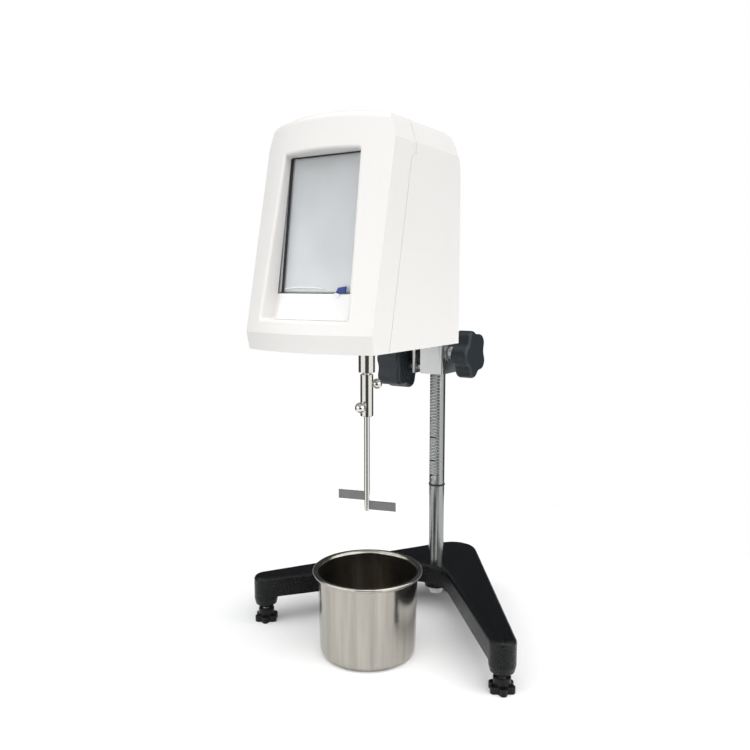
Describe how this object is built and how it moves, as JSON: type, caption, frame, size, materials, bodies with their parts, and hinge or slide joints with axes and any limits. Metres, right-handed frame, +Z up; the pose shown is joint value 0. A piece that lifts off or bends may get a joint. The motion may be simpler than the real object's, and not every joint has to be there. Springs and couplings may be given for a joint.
{
  "type": "stormer viscometer",
  "caption": "Paddle viscometer: measuring head with a blank screen, geared up and down a rack post on a V-shaped cast base, with a split-blade paddle on a coupling and a steel cup.",
  "frame": {"origin": "centre of the bounding box at table level", "axes": "+Z up along the post and the spindle, screen faces -Y, height knob on +X"},
  "size_m": [0.284, 0.3104, 0.4793],
  "materials": {
    "base_paint": "black fine-textured semi-gloss paint",
    "steel": "ground bright steel",
    "chrome": "polished nickel plate",
    "block_metal": "satin machined",
    "arm_paint": "satin light grey paint",
    "cover": "warm off-white, satin",
    "knob": "charcoal, fine texture",
    "foot_plastic": "black moulded",
    "ring_rubber": "black",
    "display": "unlit grey screen",
    "glass": "clear",
    "label": "white film, bare",
    "sheet_metal": "plain sheet",
    "board": "green laminate",
    "dark_plastic": "black moulded",
    "brass": "turned",
    "motor_metal": "black",
    "cup_steel": "spun stainless steel",
    "blade": "matte grey"
  },
  "bodies": {
    "stand": {"base_casting": "base_paint", "post": "steel", "post_washer": "steel", "post_bolt": "steel", "stop_ring": "ring_rubber"},
    "head": {"clamp_block": "block_metal", "pinion_bush": "brass", "arm_bracket": "arm_paint", "arm_head_screws": "steel", "arm_block_screws": "steel", "front_cover": "cover", "rear_cover": "cover", "chassis_plate": "sheet_metal", "chassis_upright": "sheet_metal", "deck_pillars": "steel", "motor_deck": "sheet_metal", "deck_screws": "steel", "pillar_screws": "steel", "cover_screws": "steel", "touch_glass": "glass", "display_panel": "display", "display_frame": "sheet_metal", "board_spacers": "brass", "control_board": "board", "label_plate": "label", "spindle_housing": "steel", "bearing_lower": "steel", "bearing_upper": "steel", "bearing_spacer": "sheet_metal", "motor": "motor_metal", "optical_sensors": "dark_plastic", "sensor_bracket": "sheet_metal", "power_inlet": "dark_plastic", "switch_frame": "dark_plastic", "data_port": "sheet_metal", "power_supply": "dark_plastic"},
    "lift_drive": {"pinion": "steel", "pinion_shaft": "steel", "lift_knob": "knob"},
    "lock": {"lock_screw": "steel", "lock_knob": "knob"},
    "motor_drive": {"motor_shaft": "steel", "drive_disc": "sheet_metal"},
    "spindle": {"drive_spindle": "steel", "driven_disc": "sheet_metal", "torsion_spring": "brass", "coupling_sleeve": "chrome", "rotor_rod": "chrome", "paddle_blade_upper": "blade", "paddle_blade_lower": "blade"},
    "thumb_upper": {"thumb_screw_upper": "chrome"},
    "thumb_lower": {"thumb_screw_lower": "chrome"},
    "foot_left": {"foot_star_left": "foot_plastic", "foot_stud_left": "chrome"},
    "foot_right": {"foot_star_right": "foot_plastic", "foot_stud_right": "chrome"},
    "foot_rear": {"foot_star_rear": "foot_plastic", "foot_stud_rear": "chrome"},
    "cup": {"cup": "cup_steel"},
    "rocker": {"switch_rocker": "dark_plastic"}
  },
  "joints": [
    {"name": "head_lift", "type": "slide", "parent": "stand", "child": "head", "axis": [0, 0, 1], "range_m": [-0.1185, 0.03]},
    {"name": "lift_turn", "type": "hinge", "parent": "head", "child": "lift_drive", "pos_m": [0.03, 0.0739, 0.2755], "axis": [1, 0, 0], "range_deg": [-345, 1360]},
    {"name": "lock_turn", "type": "hinge", "parent": "head", "child": "lock", "pos_m": [-0.03, 0.06825, 0.2604], "axis": [1, 0, 0], "range_deg": [-180, 0]},
    {"name": "spindle_spin", "type": "hinge", "parent": "head", "child": "spindle", "pos_m": [0, -0.05275, 0.24], "axis": [0, 0, 1], "continuous": true},
    {"name": "motor_spin", "type": "hinge", "parent": "head", "child": "motor_drive", "pos_m": [0, -0.05275, 0.35], "axis": [0, 0, 1], "continuous": true},
    {"name": "thumb_upper_turn", "type": "hinge", "parent": "spindle", "child": "thumb_upper", "pos_m": [0.00407, -0.04362, 0.2555], "axis": [0.4067, 0.9135, 0], "range_deg": [0, 360]},
    {"name": "thumb_lower_turn", "type": "hinge", "parent": "spindle", "child": "thumb_lower", "pos_m": [0, -0.06275, 0.236], "axis": [0, -1, 0], "range_deg": [0, 360]},
    {"name": "cup_lift", "type": "slide", "parent": "stand", "child": "cup", "axis": [0, 0, 1], "range_m": [0, 0.012]},
    {"name": "rocker_tilt", "type": "hinge", "parent": "head", "child": "rocker", "pos_m": [0.004, 0.00325, 0.3833], "axis": [1, 0, 0], "range_deg": [-16, 0]},
    {"name": "foot_left_turn", "type": "hinge", "parent": "stand", "child": "foot_left", "pos_m": [-0.13, -0.04275, 0.006], "axis": [0, 0, 1], "range_deg": [-720, 720]},
    {"name": "foot_right_turn", "type": "hinge", "parent": "stand", "child": "foot_right", "pos_m": [0.13, -0.04275, 0.006], "axis": [0, 0, 1], "range_deg": [-720, 720]},
    {"name": "foot_rear_turn", "type": "hinge", "parent": "stand", "child": "foot_rear", "pos_m": [0, 0.12975, 0.006], "axis": [0, 0, 1], "range_deg": [-720, 720]}
  ],
  "couplings": [
    {"joint": "lift_turn", "follows": "head_lift", "rad_per_m": -200},
    {"joint": "motor_spin", "follows": "spindle_spin", "ratio": 1}
  ]
}
